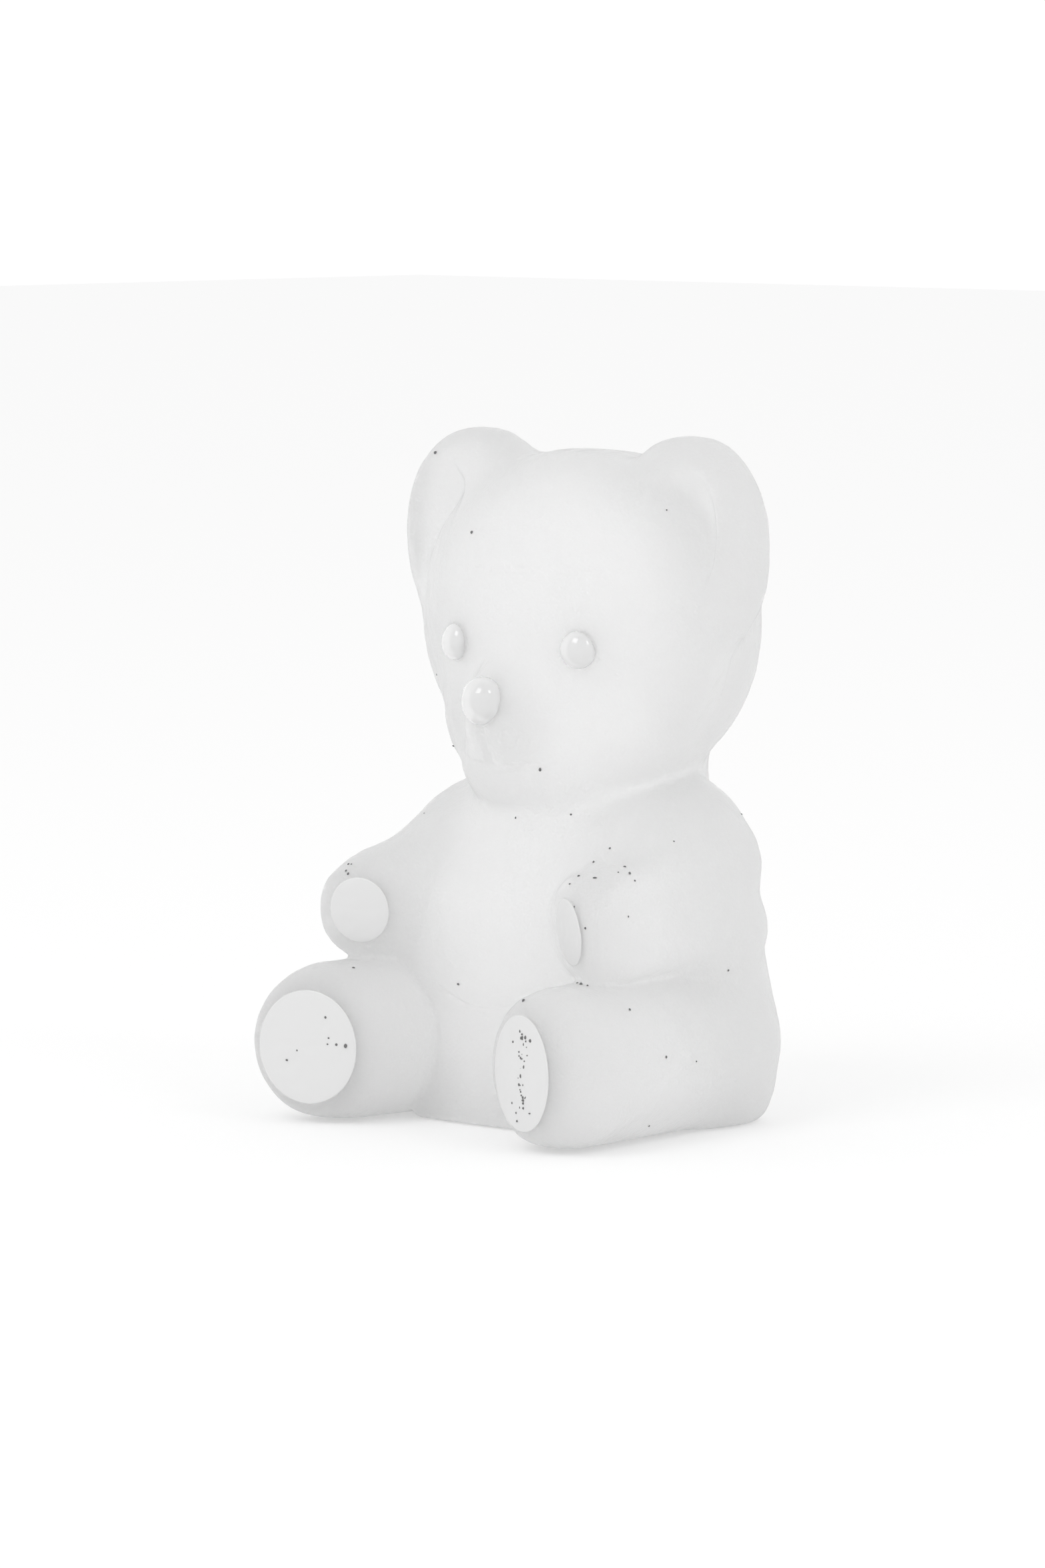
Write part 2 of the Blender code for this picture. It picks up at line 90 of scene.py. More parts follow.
def turned(axis, degrees):
    """A matrix for row vectors, which takes points into a form turned that way about x or y."""
    c, s = cos(radians(degrees)), sin(radians(degrees))
    rows = {
        "x": ((1, 0, 0), (0, c, -s), (0, s, c)),
        "y": ((c, 0, s), (0, 1, 0), (-s, 0, c)),
    }
    return np.array(rows[axis])


def ellipsoid(p, centre, radii, turn=None):
    q = p - np.array(centre)
    if turn is not None:
        q = q @ turn
    radii = np.array(radii)
    near, steep = length(q / radii), length(q / radii**2)
    return near * (near - 1) / np.maximum(steep, TINY)


def lozenge(p, centre, radii, outline, bulge):
    """A rounded form whose outline seen from the front has one power, and whose depth has another."""
    a = np.maximum(np.abs(p - np.array(centre)) / np.array(radii), TINY)
    spread = a[:, 0] ** outline + a[:, 2] ** outline
    rim = spread ** (1 / outline)
    f = (rim**bulge + a[:, 1] ** bulge) ** (1 / bulge)
    shared = (rim / f) ** (bulge - 1) * spread ** (1 / outline - 1)
    slope = np.stack(
        [
            shared * a[:, 0] ** (outline - 1) / radii[0],
            (a[:, 1] / f) ** (bulge - 1) / radii[1],
            shared * a[:, 2] ** (outline - 1) / radii[2],
        ],
        axis=1,
    )
    return (f - 1) / np.maximum(length(slope), TINY)


def capsule(p, start, end, start_radius, end_radius):
    """A bar with round ends, which tapers from one radius to the other."""
    start, end = np.array(start, float), np.array(end, float)
    along = end - start
    t = np.clip((p - start) @ along / (along @ along), 0, 1)
    return length(p - start - t[:, None] * along) - (start_radius + (end_radius - start_radius) * t)


def barrel(p, end, axis, radius, depth, edge):
    """A cylinder with rounded rims, whose outer face is at end and which runs back along -axis."""
    axis = np.array(axis, float) / np.linalg.norm(axis)
    q = p - (np.array(end) - axis * depth / 2)
    t = q @ axis
    across = length(q - t[:, None] * axis) - (radius - edge)
    along = np.abs(t) - (depth / 2 - edge)
    outside = np.hypot(np.maximum(across, 0), np.maximum(along, 0))
    return np.minimum(np.maximum(across, along), 0) + outside - edge


def block(p, centre, half, edge):
    """A box of these half sizes, with rounded edges."""
    q = np.abs(p - np.array(centre)) - (np.array(half) - edge)
    return np.minimum(q.max(1), 0) + length(np.maximum(q, 0)) - edge


def before(p, point, normal):
    """Distance short of the plane through point, for carving off what lies beyond it."""
    normal = np.array(normal)
    return (np.array(point) - p) @ normal / np.sqrt(normal @ normal)


def melt(a, b, reach):
    """The union of two fields, filleted over about reach mm."""
    h = np.maximum(reach - np.abs(a - b), 0) / reach
    return np.minimum(a, b) - h**3 * reach / 6


def carve(a, b, reach):
    """Field a with b cut out of it, the edge eased over about reach mm."""
    return -melt(-a, b, reach)


# ---- the sculpt ----

FOOT_AXIS = (-0.30, -0.95, 0.0)
SOLE = (19.4, -33.6, 10.3)
HAND_AXIS = (-0.42, -0.90, -0.12)
PALM = (19.0, -24.4, 27.6)
EYE = (11.0, -14.3, 62.9)
EYE_AXIS = (0.42, -0.90, 0.12)
EYE_RADIUS, EYE_BULGE = 2.5, 1.9
NOSE = (0.0, -20.8, 56.0)
NOSE_RADII = (2.8, 2.6, 3.2)
SEAT_DEPTH = 0.3  # how far the skin under a polished dome lies inside it
NECK_RADIUS = 13.7
SHOULDER_RADIUS = 9.5
THIGH_RADIUS = 10.5
TREAD_RADIUS = 5.6
ARM_TOP = ((15.0, 0, 47.6), (0.096, -0.494, 0.864))  # a plane: a point on it, and its way out
ARM_FLANK = ((26.7, 0, 30.0), (0.985, -0.05, 0.165))


def head(p):
    skull = lozenge(p, centre=(0, 1.2, 66.0), radii=(24.0, 16.3, 22.0), outline=2.2, bulge=2.2)
    face = lozenge(p, centre=(0, -4.0, 66.0), radii=(25.9, 11.3, 20.9), outline=2.1, bulge=1.7)
    jaw = ellipsoid(p, centre=(0, -2.5, 51.8), radii=(16.2, 13.0, 10.6))
    cheek = ellipsoid(p, centre=(9.2, -5.5, 52.5), radii=(8.2, 8.5, 8.5))
    muzzle = ellipsoid(p, centre=(0, -12.8, 53.6), radii=(7.2, 8.4, 8.6), turn=turned("x", -12))
    chin = ellipsoid(p, centre=(0, -9.5, 46.8), radii=(11.5, 8.8, 7.2))
    form = melt(skull, face, reach=4)
    form = melt(form, jaw, reach=6)
    form = melt(form, cheek, reach=6)
    form = melt(form, muzzle, reach=5)
    return melt(form, chin, reach=4)


def ear(p):
    lobe = lozenge(p, centre=(18.8, -1.4, 76.0), radii=(12.2, 6.4, 14.3), outline=2.2, bulge=2.2)
    hollow = ellipsoid(p, centre=(20.3, -9.2, 75.2), radii=(7.6, 6.6, 13.4), turn=turned("y", 18))
    return carve(lobe, hollow, reach=1.2)


def torso(p):
    chest = ellipsoid(p, centre=(0, -1.0, 34.0), radii=(18.0, 16.0, 14.5))
    belly = lozenge(p, centre=(0, -5.0, 23.0), radii=(20.5, 16.3, 14.0), outline=2.6, bulge=3.2)
    back = lozenge(p, centre=(0, 0.5, 20.0), radii=(24.0, 16.0, 26.0), outline=2.6, bulge=2.6)
    hip = lozenge(p, centre=(12.2, 3.0, 9.0), radii=(12.6, 11.8, 15.0), outline=2.4, bulge=2.4)
    neck = capsule(p, (0, 2.2, 40.0), (0, 2.2, 56.0), NECK_RADIUS, NECK_RADIUS)
    form = melt(chest, belly, reach=6)
    form = melt(form, back, reach=6)
    form = melt(form, hip, reach=6)
    return melt(form, neck, reach=5)


def arm(p):
    """The arm's bars, then its flat palm, top and flank."""
    shoulder = capsule(p, (12.5, 2.0, 36.5), (13.5, -5.0, 35.5), SHOULDER_RADIUS, SHOULDER_RADIUS)
    ridge = capsule(p, (19.0, 1.0, 34.2), (20.4, -16.8, 29.0), 7.4, 6.6)
    inner = capsule(p, (13.5, -6.0, 34.5), (17.4, -15.8, 27.8), 9.4, 7.6)
    under = capsule(p, (19.2, 4.0, 26.0), (20.2, -16.6, 27.8), 6.2, 6.8)
    hand = barrel(p, PALM, HAND_AXIS, radius=7.3, depth=9.2, edge=3.6)
    form = melt(ridge, inner, reach=4)
    form = melt(form, under, reach=4)
    form = melt(form, shoulder, reach=6)
    form = melt(form, hand, reach=3)
    form = carve(form, before(p, PALM, HAND_AXIS), reach=2.5)
    form = carve(form, before(p, *ARM_TOP), reach=3)
    return carve(form, before(p, *ARM_FLANK), reach=3)


def leg(p):
    thigh = capsule(p, (20.9, -27.3, 10.4), (16.6, 3.0, 11.2), THIGH_RADIUS, THIGH_RADIUS)
    tread = capsule(p, (20.4, -25.0, 5.0), (18.0, 6.0, 5.0), TREAD_RADIUS, TREAD_RADIUS)
    foot = carve(thigh, before(p, SOLE, FOOT_AXIS), reach=3.2)
    return melt(foot, tread, reach=3)


def apron(p):
    """The low wall of glass between the legs."""
    return block(p, centre=(0, -9.6, 2.6), half=(15.0, 10.3, 13.0), edge=2)


def seat(p, centre, radii):
    """The swelling that carries a polished dome."""
    return ellipsoid(p, centre, np.array(radii) - SEAT_DEPTH)


def casting(p):
    """The whole figurine but its polished domes, the same on both sides."""
    q = p.copy()
    q[:, 0] = np.abs(q[:, 0])
    upper = melt(head(q), ear(q), reach=4)
    lower = melt(torso(q), arm(q), reach=2.4)
    lower = melt(lower, apron(q), reach=1)
    lower = melt(lower, leg(q), reach=1.6)
    form = melt(upper, lower, reach=3.6)
    form = melt(form, seat(q, NOSE, NOSE_RADII), reach=1.6)
    form = melt(form, seat(q, EYE, (EYE_RADIUS, EYE_BULGE, EYE_RADIUS)), reach=1.6)
    return carve(form, q[:, 2], reach=3)


# ---- relief: what lies on the sculpt, as mm outwards at points (n, 3) ----

POURED_HEIGHT, POURED_FADE = 0.06, (1.0, 4.0)  # the fade is the height over which it sets in
PEEL_HEIGHT = 0.018
SEAM_HEIGHT, SEAM_WIDTH, SEAM_FADE = 0.10, 0.30, (2.0, 8.0)
BODY_SEAM, BODY_TO_HEAD = 0.35, (42.0, 60.0)  # below the head the seam keeps this share of its height
FRONT_Y, MUZZLE_FADE, LAP_FADE = -6, (-13, -16), (-14, -16)
BROW_Z, BROW_DEPTH, BROW_WIDTH = 72.8, 0.22, 0.3
BROW_RIGHT, BROW_LEFT = (-12, -8), (19, 14)
SMILE_Z, SMILE_DEPTH, SMILE_WIDTH, SMILE_CURVE = 47.4, 0.36, 0.34, 0.012
PHILTRUM_DEPTH, PHILTRUM_WIDTH = 0.55, 0.8
PHILTRUM_FOOT, PHILTRUM_HEAD = (47.0, 48.0), (54.5, 52.5)
FOLD_Z, FOLD_DEPTH, FOLD_WIDTH, FOLD_CURVE = 15.6, 0.4, 0.3, 0.035
BUBBLE, BUBBLE_RADIUS, BUBBLE_DEPTH, BUBBLE_EDGE = (3.8, 51.3), 0.95, 0.22, 0.15
rng = np.random.default_rng(7)


def ripples(count, wavelength, spread=1.5):
    """Plane waves in random directions, whose sum is a soft unevenness."""
    ways = rng.normal(size=(count, 3))
    ways /= np.linalg.norm(ways, axis=1)[:, None]
    lengths = wavelength * spread ** rng.uniform(-1, 1, count)
    return 2 * pi * ways / lengths[:, None], rng.uniform(0, 2 * pi, count)


def unevenness(p, waves):
    ways, phases = waves
    return np.sin(p @ ways.T + phases).sum(1) / np.sqrt(len(phases) / 2)


POURED = ripples(28, 14.0)
ORANGE_PEEL = ripples(36, 3.2)
BEAD_LUMPS, PAD_LUMPS, DOME_LUMPS = ripples(40, 1.1), ripples(40, 2.0), ripples(30, 3.0)


def ramp(value, start, end):
    """0 before start and 1 past end, which may be the lower of the two."""
    return np.clip((value - start) / (end - start), 0, 1)


def furrow(distance, width):
    return np.exp(-((distance / width) ** 2))


def relief(p):
    """Unevenness and the mould seam stand out. The forehead line, mouth, lap fold and bubble are sunk."""
    x, y, z = p.T
    front = y < FRONT_Y
    muzzle = front * ramp(y, *MUZZLE_FADE)
    height = POURED_HEIGHT * unevenness(p, POURED) + PEEL_HEIGHT * unevenness(p, ORANGE_PEEL)
    height = height * ramp(z, *POURED_FADE)
    seam = furrow(y, SEAM_WIDTH) * ramp(z, *SEAM_FADE)
    height += SEAM_HEIGHT * seam * (BODY_SEAM + (1 - BODY_SEAM) * ramp(z, *BODY_TO_HEAD))
    brow = furrow(z - BROW_Z - 0.25 * np.sin(x / 5), BROW_WIDTH) * front
    brow = brow * ramp(x, *BROW_RIGHT) * ramp(x, *BROW_LEFT)
    height -= BROW_DEPTH * brow * np.clip(0.6 + 0.6 * np.sin(x * 1.7) + 0.4 * np.sin(x * 3.9), 0, 1)
    smile = furrow(z - SMILE_Z - SMILE_CURVE * x**2, SMILE_WIDTH) * ramp(np.abs(x), 8.5, 5.5)
    height -= SMILE_DEPTH * smile * muzzle
    philtrum = furrow(x, PHILTRUM_WIDTH) * ramp(z, *PHILTRUM_FOOT) * ramp(z, *PHILTRUM_HEAD)
    height -= PHILTRUM_DEPTH * philtrum * muzzle
    fold = furrow(z - FOLD_Z - FOLD_CURVE * x**2, FOLD_WIDTH) * ramp(np.abs(x), 12.5, 9.0)
    height -= FOLD_DEPTH * fold * ramp(y, *LAP_FADE)
    aside = np.hypot(x - BUBBLE[0], z - BUBBLE[1])
    bubble = ramp(aside, BUBBLE_RADIUS + BUBBLE_EDGE, BUBBLE_RADIUS - BUBBLE_EDGE) * front
    return height - BUBBLE_DEPTH * bubble


# ---- meshing ----

COARSE_STEP, FINE_STEP, SEAM_STEP = 0.62, 0.34, 0.25
HALF_WIDTH, DEPTH, HEIGHT = 33.0, (-37.5, 21.0), (-1.4, 92.0)  # what the grid spans
MIDDLE_ZONES = [(0, 8)]
SEAM_ZONES = [(-1.1, 0.9)]
MARK_ZONES = [(14, 20), (45, 60), (72, 74)]  # the lap fold, the muzzle and mouth, the forehead line


def grid_line(low, high, step, fine_step, fine_zones):
    """Positions from low to high, closer together inside the zones."""
    places = [low]
    while places[-1] < high:
        here = places[-1]
        inside = any(a <= here < b for a, b in fine_zones)
        places.append(here + (fine_step if inside else step))
    return np.array(places)


def surface_net(field, lines):
    """(points, quads) of the field's zero level: a point in each cell that it passes through."""
    shape = np.array([len(line) for line in lines])
    cells = shape - 1
    inside = field < 0
    where, places, faces = [], [], []
    for axis in range(3):
        step = np.eye(3, dtype=int)[axis]
        near = tuple(slice(0, -1) if a == axis else slice(None) for a in range(3))
        far = tuple(slice(1, None) if a == axis else slice(None) for a in range(3))
        at = np.argwhere(inside[near] != inside[far])
        others = [a for a in range(3) if a != axis]
        keep = np.all([(at[:, a] > 0) & (at[:, a] < cells[a]) for a in others], axis=0)
        at = at[keep]
        f0, f1 = field[tuple(at.T)], field[tuple((at + step).T)]
        place = np.stack([lines[a][at[:, a]] for a in range(3)], 1)
        span = lines[axis][at[:, axis] + 1] - lines[axis][at[:, axis]]
        place[:, axis] += span * f0 / (f0 - f1)
        u, v = np.eye(3, dtype=int)[others[0]], np.eye(3, dtype=int)[others[1]]
        ring = np.stack([at - u - v, at - v, at, at - u], 1)
        ids = np.ravel_multi_index(np.moveaxis(ring, 2, 0), cells)
        flip = (f0 < 0) == (axis == 1)
        ids[flip] = ids[flip, ::-1]
        where.append(ids.reshape(-1))
        places.append(np.repeat(place, 4, axis=0))
        faces.append(ids)
    where, places, faces = np.concatenate(where), np.concatenate(places), np.concatenate(faces)
    used, index = np.unique(where, return_inverse=True)
    count = np.bincount(index)
    points = np.stack([np.bincount(index, places[:, a]) / count for a in range(3)], 1)
    return points, np.searchsorted(used, faces)


def slope_of(field, p, step=0.04):
    """The field's gradient at p."""
    found = []
    for a in range(3):
        shift = np.eye(3)[a] * step
        found.append((field(p + shift) - field(p - shift)) / (2 * step))
    return np.stack(found, 1)


def settled(field, p, rounds=2):
    """Points moved along the slope onto the field's zero level."""
    for _ in range(rounds):
        slope = slope_of(field, p)
        steep = np.maximum(np.einsum("ij,ij->i", slope, slope), 0.05)
        p = p - np.clip(field(p) / steep, -0.5, 0.5)[:, None] * slope
    return p


def outwards(p):
    """Unit normals of the casting at p."""
    slope = slope_of(casting, p)
    return slope / np.maximum(length(slope), TINY)[:, None]


def mesh_casting():
    """(points, quads) of the whole skin. The field is worked out on one side and mirrored."""
    right = grid_line(0.0, HALF_WIDTH, COARSE_STEP, FINE_STEP, MIDDLE_ZONES)
    x_line = np.concatenate([-right[:0:-1], right])
    y_line = grid_line(*DEPTH, COARSE_STEP, SEAM_STEP, SEAM_ZONES)
    z_line = grid_line(*HEIGHT, COARSE_STEP, FINE_STEP, MARK_ZONES)
    half = np.stack(np.meshgrid(right, y_line, z_line, indexing="ij"), -1)
    values = casting(half.reshape(-1, 3)).reshape(half.shape[:3])
    values = np.concatenate([values[:0:-1], values])
    points, quads = surface_net(values, (x_line, y_line, z_line))
    points = settled(casting, points)
    points = points + outwards(points) * relief(points)[:, None]
    points[:, 2] = np.maximum(points[:, 2], 0.0)
    return points, quads


# ---- pieces ----


def new_piece(name, points, faces, materials, slot, *nodes, second=()):
    """A piece that stands for these CAD nodes. The faces in second take the second material."""
    mesh = bpy.data.meshes.new(name)
    faces = [tuple(int(i) for i in face) for face in list(faces) + list(second)]
    mesh.from_pydata(np.asarray(points).tolist(), [], faces)
    mesh.shade_smooth()
    for material in materials:
        mesh.materials.append(material)
    if len(second):
        index = np.repeat([0, 1], [len(faces) - len(second), len(second)])
        mesh.polygons.foreach_set("material_index", index.astype(np.int32))
    mesh.validate()
    piece = bpy.data.objects.new(name, mesh)
    bpy.context.scene.collection.objects.link(piece)
    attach(piece, "root")
    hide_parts(*nodes)


ROUND, DISC = 2.0, 2.2  # the flatness of a dome: 2 is an ellipsoid, and more is a disc


def dome(centre, axis, radii, thickness, flatness, lumps, shift, rings=24, spokes=64):
    """(points, faces) of a closed lens about axis. Its front has lumps: their height and their waves."""
    axis = Vector(axis).normalized()
    side = axis.cross(Vector((0, 0, 1))).normalized()
    up = side.cross(axis).normalized()
    basis = np.array([side, up, axis])
    across = np.sin(np.linspace(0, pi / 2, rings // 2 + 1)[1:])
    across = np.concatenate([across, across[-2::-1]])
    facing = np.repeat([-1.0, 1.0], [rings // 2, rings // 2 - 1])
    across, lon = np.meshgrid(across, np.linspace(0, 2 * pi, spokes, endpoint=False), indexing="ij")
    high = facing[:, None] * (1 - across**flatness) ** (1 / flatness)
    unit = np.stack([across * np.cos(lon), across * np.sin(lon), high], -1).reshape(-1, 3)
    unit = np.concatenate([unit, [(0, 0, -1), (0, 0, 1)]])
    local = unit * (radii[0], radii[1], thickness)
    lump_height, waves = lumps
    fade = (unit[:, 2] > -0.2) * (1 - (unit[:, 0] ** 2 + unit[:, 1] ** 2) ** 4)
    local[:, 2] += lump_height * unevenness(local + shift, waves) * fade
    points = local @ basis + np.array(centre)
    faces = []
    levels = rings - 1
    for i in range(levels - 1):
        for j in range(spokes):
            k = (j + 1) % spokes
            faces.append((i * spokes + j, i * spokes + k, (i + 1) * spokes + k, (i + 1) * spokes + j))
    south, north = levels * spokes, levels * spokes + 1
    for j in range(spokes):
        k = (j + 1) % spokes
        faces.append((south, k, j))
        faces.append((north, (levels - 1) * spokes + j, (levels - 1) * spokes + k))
    return points, faces


# ---- materials ----

# The darkest tint is painted shade: dark beads take it to stand in for the shade inside small pits in the
# skin.
SATIN_TINT, POLISHED_TINT, WORN_TINT, PIT_SHADE_TINT = 0.955, 0.755, 0.74, 0.16
GLOW_REACH, POLISHED_GLOW_REACH = 0.03, 0.001
SATIN_TRANSMISSION, POLISHED_TRANSMISSION = 0.4, 0.1
GLASS_IOR, GLAZE_IOR = 1.54, 1.7
BLOTCHES, SATIN_ROUGHNESS = (0.35, 0.65), (0.42, 0.56)  # a range of the noise, and what it becomes
WORN_BLOTCHES, WORN_ROUGHNESS = (0.38, 0.62), (0.28, 0.5)
POLISHED_ROUGHNESS, PIT_SHADE_ROUGHNESS = 0.035, 0.7
BLOTCH_SCALE, WORN_BLOTCH_SCALE = 90, 350
GRAIN_SCALE, GRAIN_DEPTH = 2600, 0.08
PIMPLE_SCALE, PIMPLE_DEPTH = 700, 0.10


def principled(name):
    made = bpy.data.materials.new(name)
    made.use_nodes = True
    return made, made.node_tree, made.node_tree.nodes["Principled BSDF"]


def set_tint(shader, tone):
    shader.inputs["Base Color"].default_value = (tone, tone, tone, 1)


def object_noise(tree, scale, detail):
    where = tree.nodes.new("ShaderNodeTexCoord")
    noise = tree.nodes.new("ShaderNodeTexNoise")
    noise.inputs["Scale"].default_value = scale
    noise.inputs["Detail"].default_value = detail
    tree.links.new(where.outputs["Object"], noise.inputs["Vector"])
    return noise.outputs["Fac"]


def ranged(tree, value, low, high, to_low, to_high):
    node = tree.nodes.new("ShaderNodeMapRange")
    for name, amount in zip(("From Min", "From Max", "To Min", "To Max"), (low, high, to_low, to_high)):
        node.inputs[name].default_value = amount
    tree.links.new(value, node.inputs["Value"])
    return node.outputs["Result"]


def bumped(tree, shader, layers):
    """Bumps in layers of (height socket, distance in mm)."""
    last = None
    for height, distance in layers:
        bump = tree.nodes.new("ShaderNodeBump")
        bump.inputs["Distance"].default_value = distance * MM
        bump.inputs["Strength"].default_value = 1.0
        tree.links.new(height, bump.inputs["Height"])
        if last:
            tree.links.new(last, bump.inputs["Normal"])
        last = bump.outputs["Normal"]
    tree.links.new(last, shader.inputs["Normal"])


def crystal(name, tint, transmission):
    """Glass that is clouded inside: it passes some light straight on and spreads the rest."""
    made, tree, shader = principled(name)
    set_tint(shader, tint)
    shader.inputs["Transmission Weight"].default_value = transmission
    shader.inputs["Subsurface Weight"].default_value = 1.0
    shader.inputs["Subsurface Radius"].default_value = (1, 1, 1)
    shader.inputs["Subsurface Scale"].default_value = GLOW_REACH
    shader.inputs["IOR"].default_value = GLASS_IOR
    return made, tree, shader


def satin_crystal():
    made, tree, shader = crystal("satin_crystal", SATIN_TINT, SATIN_TRANSMISSION)
    blotches = object_noise(tree, BLOTCH_SCALE, 3)
    tree.links.new(ranged(tree, blotches, *BLOTCHES, *SATIN_ROUGHNESS), shader.inputs["Roughness"])
    grain, pimples = object_noise(tree, GRAIN_SCALE, 2), object_noise(tree, PIMPLE_SCALE, 2)
    bumped(tree, shader, [(grain, GRAIN_DEPTH), (pimples, PIMPLE_DEPTH)])
    return made


def polished_crystal():
    """Eyes and nose: glossy, and clouded close under the skin."""
    made, _, shader = crystal("polished_crystal", POLISHED_TINT, POLISHED_TRANSMISSION)
    shader.inputs["Subsurface Scale"].default_value = POLISHED_GLOW_REACH
    shader.inputs["Roughness"].default_value = POLISHED_ROUGHNESS
    shader.inputs["Coat Weight"].default_value = 1.0
    shader.inputs["Coat IOR"].default_value = GLAZE_IOR
    return made


def worn_crystal():
    """Soles and paw pads: polished once, and now half matt."""
    made, tree, shader = crystal("worn_crystal", WORN_TINT, 0.0)
    shader.inputs["Subsurface Weight"].default_value = 0.0
    blotches = object_noise(tree, WORN_BLOTCH_SCALE, 3)
    tree.links.new(ranged(tree, blotches, *WORN_BLOTCHES, *WORN_ROUGHNESS), shader.inputs["Roughness"])
    return made


def pit_shade():
    """Dark grey specks of painted shade, standing in for the shade inside small pits in the skin."""
    made, _, shader = principled("pit_shade")
    set_tint(shader, PIT_SHADE_TINT)
    shader.inputs["Roughness"].default_value = PIT_SHADE_ROUGHNESS
    return made


# ---- the casting, with dark beads of painted pit shade ----

SATIN_NODES = (
    "torso", "head", "left_ear", "right_ear", "left_arm", "right_arm", "left_leg", "right_leg"
)
SCATTERED = 46
CROWDED = (  # the middle of a crowd of beads, how far it reaches, and how many
    ((19.4, -31.5, 17.5), 2.6, 3),
    ((20.0, -24.0, 18.5), 4.0, 4),
    ((19.0, -24.0, 33.0), 3.5, 4),
    ((-19.0, -24.4, 33.0), 3.5, 4),
    ((21.0, -14.0, 36.0), 6.0, 6),
    ((20.0, -20.0, 1.5), 8.0, 4),
)
SOLE_PITS = (  # side, how many, how far from the sole's middle, and how far they spread
    (1, 34, (0.6, 0.0, -1.5), (1.2, 0.3, 3.4)),
    (1, 10, (0.6, 0.0, 4.6), (0.6, 0.2, 0.9)),
    (-1, 7, (1.0, 0.0, 3.0), (2.6, 0.3, 2.2)),
)
SOLE_REACH, SOLE_LIFT = 6.4, 0.3  # sole beads stay this near its middle, and lie this far out on the pad
BEADS_ABOVE, STEEPEST_UNDERSIDE = 1.2, -0.6  # none near the table or under the bear
SMALLEST_BEAD, BEAD_RANGE, BEAD_STRETCH = 0.11, 0.13, (0.7, 1.6)
BEAD_SUNK = 0.35
BEAD_AXIS = (0.2, -1, 0.3)


def mirrored(vector, side):
    return (vector[0] * side, vector[1], vector[2])


def bead(centre, radii):
    """(points, faces) of a small smooth closed bead."""
    return dome(centre, BEAD_AXIS, radii[:2], radii[2], ROUND, (0, BEAD_LUMPS), 0, rings=6, spokes=8)


def bead_places(points, normals):
    """(place, normal) of each bead: scattered thinly, and crowded near the soles and paws."""
    front = np.flatnonzero((normals[:, 2] > STEEPEST_UNDERSIDE) & (points[:, 2] > BEADS_ABOVE))
    chosen = list(rng.choice(front, SCATTERED, replace=False))
    for centre, reach, count in CROWDED:
        near = np.flatnonzero(length(points - np.array(centre)) < reach)
        chosen += list(rng.choice(near, min(count, len(near)), replace=False))
    places = [(points[index], normals[index]) for index in chosen]
    for side, count, offset, spread in SOLE_PITS:
        axis, middle = np.array(mirrored(FOOT_AXIS, side)), np.array(mirrored(SOLE, side))
        for _ in range(count):
            aside = rng.normal(0, 1, 3) * spread + offset
            aside -= axis * (aside @ axis) / (axis @ axis)
            if np.sqrt(aside @ aside) < SOLE_REACH:
                places.append((middle + aside + axis * SOLE_LIFT, axis))
    return places


def pit_shade_beads(points, normals, first):
    """(points, faces) of dark beads of painted pit shade half sunk in the skin, their points numbered
    from first.
    """
    all_points, all_faces = [], []
    for point, normal in bead_places(points, normals):
        size = SMALLEST_BEAD + BEAD_RANGE * rng.random() ** 2
        radii = size * rng.uniform(*BEAD_STRETCH, 3)
        made, faces = bead(point - normal * size * BEAD_SUNK, radii)
        all_points.append(made)
        all_faces += [tuple(i + first for i in face) for face in faces]
        first += len(made)
    return np.concatenate(all_points), all_faces


def add_casting():
    points, quads = mesh_casting()
    bead_points, bead_faces = pit_shade_beads(points, outwards(points), len(points))
    points = to_frame(np.concatenate([points, bead_points]))
    # The second material is painted shade on the beads that stand for small pits.
    materials = (satin_crystal(), pit_shade())
    new_piece("casting", points, quads, materials, "satin_crystal", *SATIN_NODES, second=bead_faces)


# ---- the polished domes ----

EYE_LUMPS, NOSE_LUMPS = (0.02, DOME_LUMPS), (0.05, DOME_LUMPS)
FOOT_PAD_RADII, FOOT_PAD_THICKNESS, FOOT_PAD_LUMPS = (7.2, 7.5), 0.34, (0.03, PAD_LUMPS)
HAND_PAD_RADII, HAND_PAD_THICKNESS, HAND_PAD_LUMPS = (4.1, 4.4), 0.3, (0.02, PAD_LUMPS)
PAIR_SHIFT, NOSE_SHIFT = 3.0, 1.0  # where in their waves the lumps are taken, so that sides differ
SIDES = {"right": -1, "left": 1}


def add_pair(part, material, centre, axis, *shape):
    """The same dome on both sides, under the names of its two CAD nodes."""
    for name, side in SIDES.items():
        points, faces = dome(mirrored(centre, side), mirrored(axis, side), *shape, PAIR_SHIFT * side)
        node = f"{name}_{part}"
        new_piece(f"{node}_dome", to_frame(points), faces, (material,), "polished_crystal", node)


def add_domes():
    polished, worn = polished_crystal(), worn_crystal()
    add_pair("eye", polished, EYE, EYE_AXIS, (EYE_RADIUS, EYE_RADIUS), EYE_BULGE, ROUND, EYE_LUMPS)
    add_pair(
        "foot_pad", worn, SOLE, FOOT_AXIS, FOOT_PAD_RADII, FOOT_PAD_THICKNESS, DISC, FOOT_PAD_LUMPS
    )
    add_pair(
        "hand_pad", worn, PALM, HAND_AXIS, HAND_PAD_RADII, HAND_PAD_THICKNESS, DISC, HAND_PAD_LUMPS
    )
    width, depth, height = NOSE_RADII
    points, faces = dome(NOSE, (0, -1, 0), (width, height), depth, ROUND, NOSE_LUMPS, NOSE_SHIFT)
    new_piece("nose_dome", to_frame(points), faces, (polished,), "polished_crystal", "nose")


# ---- studio ----

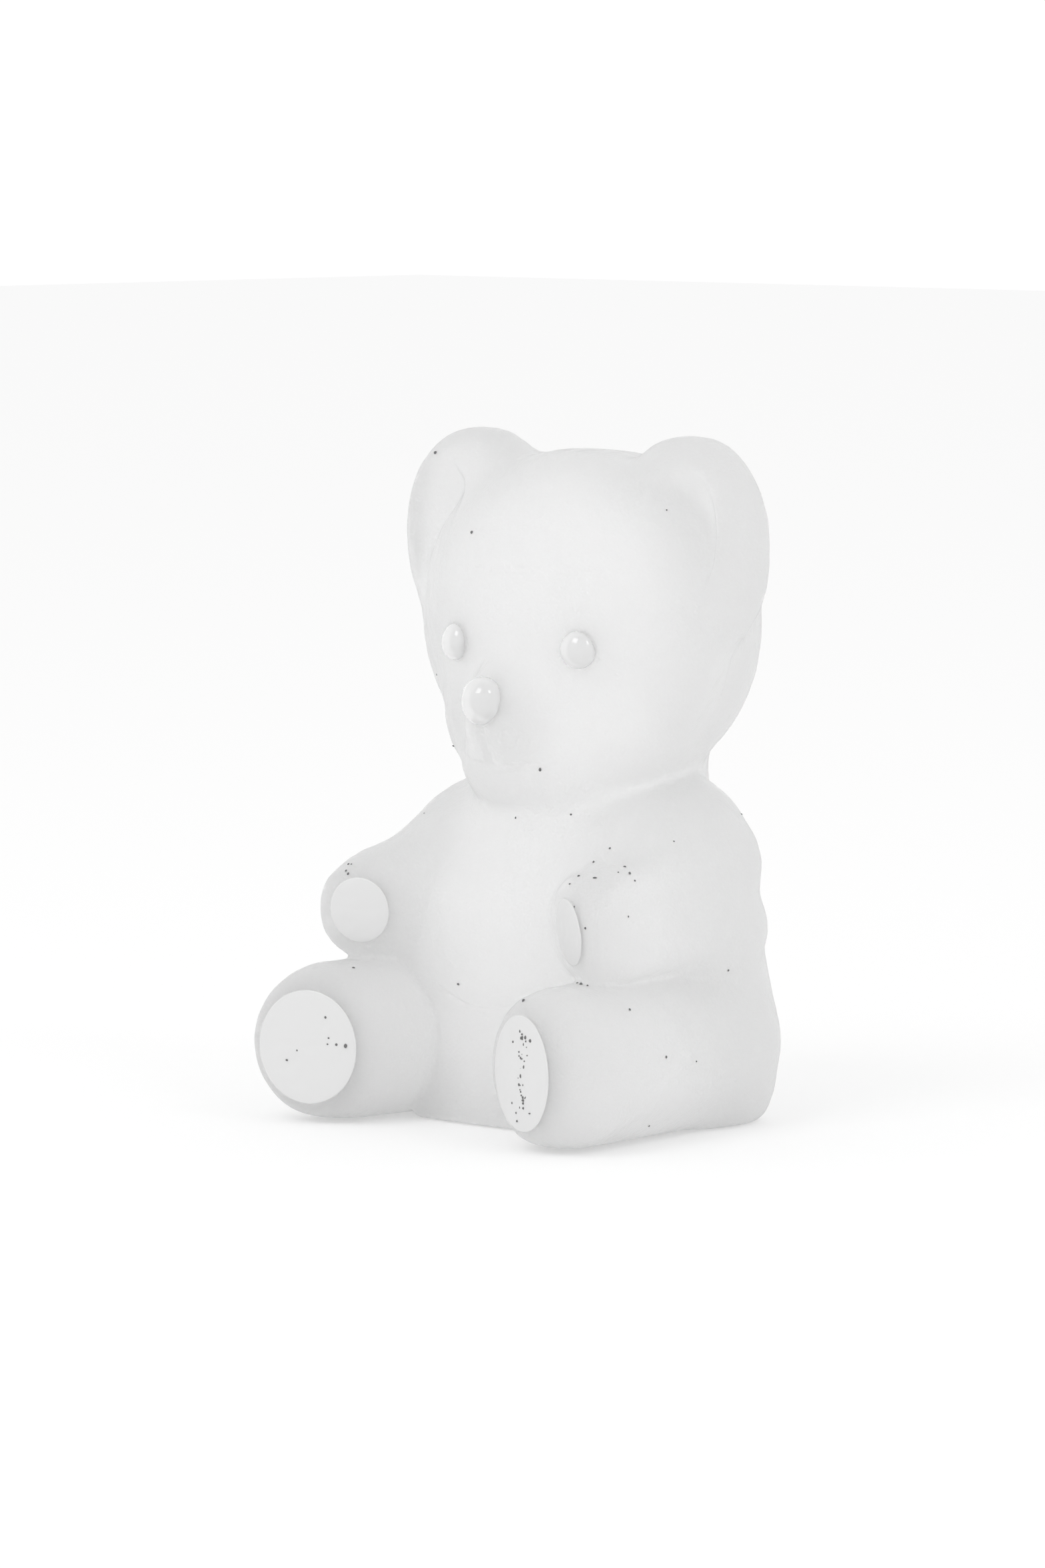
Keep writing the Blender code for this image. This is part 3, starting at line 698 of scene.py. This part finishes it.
AIM = Vector((0, -13.3 + SEAM_Y, 44.7)) * MM
CAMERA_TURN, CAMERA_RISE, CAMERA_DISTANCE = 44, 5.3, 1.0
LENS = 176
FAR_CLIP = 20
KEY = dict(turn=5, rise=48, distance=1.1, size=(0.5, 0.5), power=1.3)
SIDE_FILL = dict(turn=88, rise=40, distance=1.2, size=(0.22, 0.3), power=0.5)
FLOOR_HALF = 3.0
FLOOR_TONE, FLOOR_GLOW = 0.75, 0.26
HORIZON, OVERHEAD = 1.03, 0.85
HORIZON_UNTIL, OVERHEAD_FROM = 0.25, 0.9


def toward(turn, rise):
    """The way from the bear to what stands that many degrees to its left and up."""
    turn, rise = radians(turn), radians(rise)
    return Vector((sin(turn) * cos(rise), -cos(turn) * cos(rise), sin(rise)))


def place_facing(thing, distance, turn, rise):
    thing.location = AIM + distance * toward(turn, rise)
    thing.rotation_euler = (AIM - thing.location).to_track_quat("-Z", "Y").to_euler()
    bpy.context.scene.collection.objects.link(thing)


def add_camera():
    data = bpy.data.cameras.new("camera")
    data.lens = LENS
    data.clip_end = FAR_CLIP
    camera = bpy.data.objects.new("camera", data)
    place_facing(camera, CAMERA_DISTANCE, CAMERA_TURN, CAMERA_RISE)
    bpy.context.scene.camera = camera


def add_softbox(name, turn, rise, distance, size, power):
    data = bpy.data.lights.new(name, "AREA")
    data.shape = "RECTANGLE"
    data.size, data.size_y = size
    data.energy = power
    place_facing(bpy.data.objects.new(name, data), distance, turn, rise)


def add_floor():
    corners = [(x * FLOOR_HALF, y * FLOOR_HALF, 0) for x, y in ((-1, -1), (1, -1), (1, 1), (-1, 1))]
    mesh = bpy.data.meshes.new("floor")
    mesh.from_pydata(corners, [], [(0, 1, 2, 3)])
    made, _, shader = principled("paper")
    set_tint(shader, FLOOR_TONE)
    shader.inputs["Roughness"].default_value = 1.0
    shader.inputs["Specular IOR Level"].default_value = 0.0
    shader.inputs["Emission Color"].default_value = (1, 1, 1, 1)
    shader.inputs["Emission Strength"].default_value = FLOOR_GLOW
    mesh.materials.append(made)
    floor = bpy.data.objects.new("floor", mesh)
    bpy.context.scene.collection.objects.link(floor)


def set_world():
    """White all round, a little dimmer overhead."""
    world = bpy.data.worlds.new("studio")
    world.use_nodes = True
    tree = world.node_tree
    where = tree.nodes.new("ShaderNodeTexCoord")
    split = tree.nodes.new("ShaderNodeSeparateXYZ")
    tree.links.new(where.outputs["Generated"], split.inputs[0])
    strength = ranged(tree, split.outputs["Z"], HORIZON_UNTIL, OVERHEAD_FROM, HORIZON, OVERHEAD)
    tree.links.new(strength, tree.nodes["Background"].inputs["Strength"])
    tree.nodes["Background"].inputs["Color"].default_value = (1, 1, 1, 1)
    bpy.context.scene.world = world


add_casting()
add_domes()
add_camera()
add_softbox("key_softbox", **KEY)
add_softbox("side_softbox", **SIDE_FILL)
add_floor()
set_world()
bpy.context.scene.view_settings.view_transform = "Standard"
